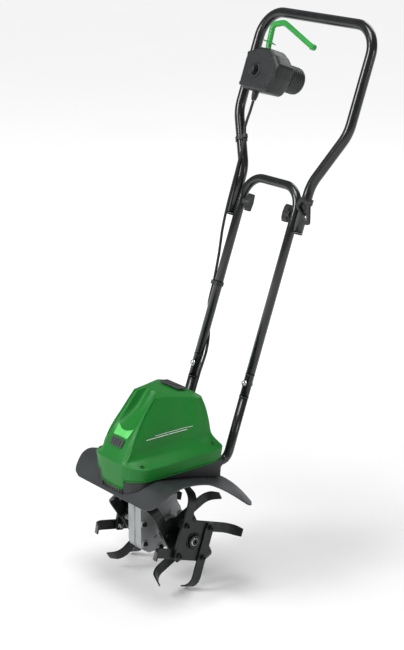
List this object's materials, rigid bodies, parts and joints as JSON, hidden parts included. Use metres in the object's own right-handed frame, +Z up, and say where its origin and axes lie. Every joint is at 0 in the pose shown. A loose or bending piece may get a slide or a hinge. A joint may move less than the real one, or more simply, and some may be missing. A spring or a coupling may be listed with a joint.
{
  "type": "electric garden tiller",
  "caption": "Upright electric garden tiller: fold-down tube handle with switch box and safety lever, covered motor and worm gearbox, mudguard, and bolted curled tines on a driven axle.",
  "frame": {"origin": "floor point under the centre of the bounding box, at the height of the lowest blade", "axes": "+Z up; -Y is the front, away from the user; +X is the user's left, along the tine axle"},
  "size_m": [0.394, 0.5604, 1.1356],
  "materials": {
    "black_paint": "gloss",
    "black_plastic": "satin",
    "brass": "satin",
    "cast_metal": "satin",
    "copper": "satin",
    "green_plastic": "gloss",
    "grey_plastic": "satin",
    "lever_plastic": "satin",
    "rubber": "matt",
    "steel": "satin"
  },
  "bodies": {
    "chassis": {"axle_bearing_left": "steel", "axle_bearing_right": "steel", "base_housing": "black_plastic", "cable_clip_lower": "black_plastic", "frame_arch": "black_paint", "frame_bolt_left": "steel", "frame_bolt_right": "steel", "front_vent_grille": "black_plastic", "gearbox_half_left": "cast_metal", "gearbox_half_right": "cast_metal", "lower_tube_left": "black_paint", "lower_tube_right": "black_paint", "motor_bearing_upper": "steel", "motor_cover": "green_plastic", "motor_plate": "steel", "motor_stator": "steel", "mudguard": "grey_plastic", "power_cable": "rubber", "top_vent_grille": "black_plastic"},
    "upper_handle": {"handle_loop": "black_paint", "pivot_bolt_left": "steel", "pivot_bolt_right": "steel", "cable_hook": "black_plastic", "switch_shell_front": "black_plastic", "switch_shell_rear": "black_plastic", "plug_inlet": "black_plastic", "inlet_pins": "black_plastic", "micro_switch": "black_plastic", "strain_relief": "rubber", "cable_clip_upper": "black_plastic"},
    "lever": {"switch_lever": "lever_plastic"},
    "button": {"lock_button": "black_plastic"},
    "knob_left": {"wing_knob_left": "black_plastic"},
    "knob_right": {"wing_knob_right": "black_plastic"},
    "tines": {"blade_inner_left_1": "black_paint", "blade_inner_left_2": "black_paint", "blade_inner_left_3": "black_paint", "blade_inner_left_4": "black_paint", "blade_inner_right_1": "black_paint", "blade_inner_right_2": "black_paint", "blade_inner_right_3": "black_paint", "blade_inner_right_4": "black_paint", "blade_outer_left_1": "black_paint", "blade_outer_left_2": "black_paint", "blade_outer_left_3": "black_paint", "blade_outer_left_4": "black_paint", "blade_outer_right_1": "black_paint", "blade_outer_right_2": "black_paint", "blade_outer_right_3": "black_paint", "blade_outer_right_4": "black_paint", "retaining_clip_left": "steel", "retaining_clip_right": "steel", "rotor_plate_inner_left": "black_paint", "rotor_plate_inner_right": "black_paint", "rotor_plate_outer_left": "black_paint", "rotor_plate_outer_right": "black_paint", "tine_shaft": "steel", "worm_wheel": "brass"},
    "motor_rotor": {"motor_shaft": "steel", "armature": "copper"}
  },
  "joints": [
    {"name": "fold", "type": "hinge", "parent": "chassis", "child": "upper_handle", "pos_m": [0, 0.13064, 0.74784], "axis": [1, 0, 0], "range_deg": [0, 150], "deforming": ["power_cable"]},
    {"name": "lever_pull", "type": "hinge", "parent": "upper_handle", "child": "lever", "pos_m": [-0.108, 0.2329, 1.02988], "axis": [0, -0.9401, 0.3409], "range_deg": [0, 14], "stiffness_Nm_per_rad": 0.8},
    {"name": "button_press", "type": "slide", "parent": "upper_handle", "child": "button", "axis": [0, 0.9401, -0.3409], "range_m": [0, 0.004], "stiffness_N_per_m": 300},
    {"name": "knob_turn_left", "type": "hinge", "parent": "chassis", "child": "knob_left", "pos_m": [0.0845, 0.13064, 0.74784], "axis": [1, 0, 0], "continuous": true},
    {"name": "knob_turn_right", "type": "hinge", "parent": "chassis", "child": "knob_right", "pos_m": [-0.0845, 0.13064, 0.74784], "axis": [1, 0, 0], "continuous": true},
    {"name": "tines_spin", "type": "hinge", "parent": "chassis", "child": "tines", "pos_m": [0, -0.1497, 0.1138], "axis": [1, 0, 0], "continuous": true},
    {"name": "motor_spin", "type": "hinge", "parent": "chassis", "child": "motor_rotor", "pos_m": [0, -0.1807, 0.2838], "axis": [0, 0, 1], "continuous": true}
  ],
  "couplings": [
    {"joint": "motor_spin", "follows": "tines_spin", "ratio": 40}
  ]
}
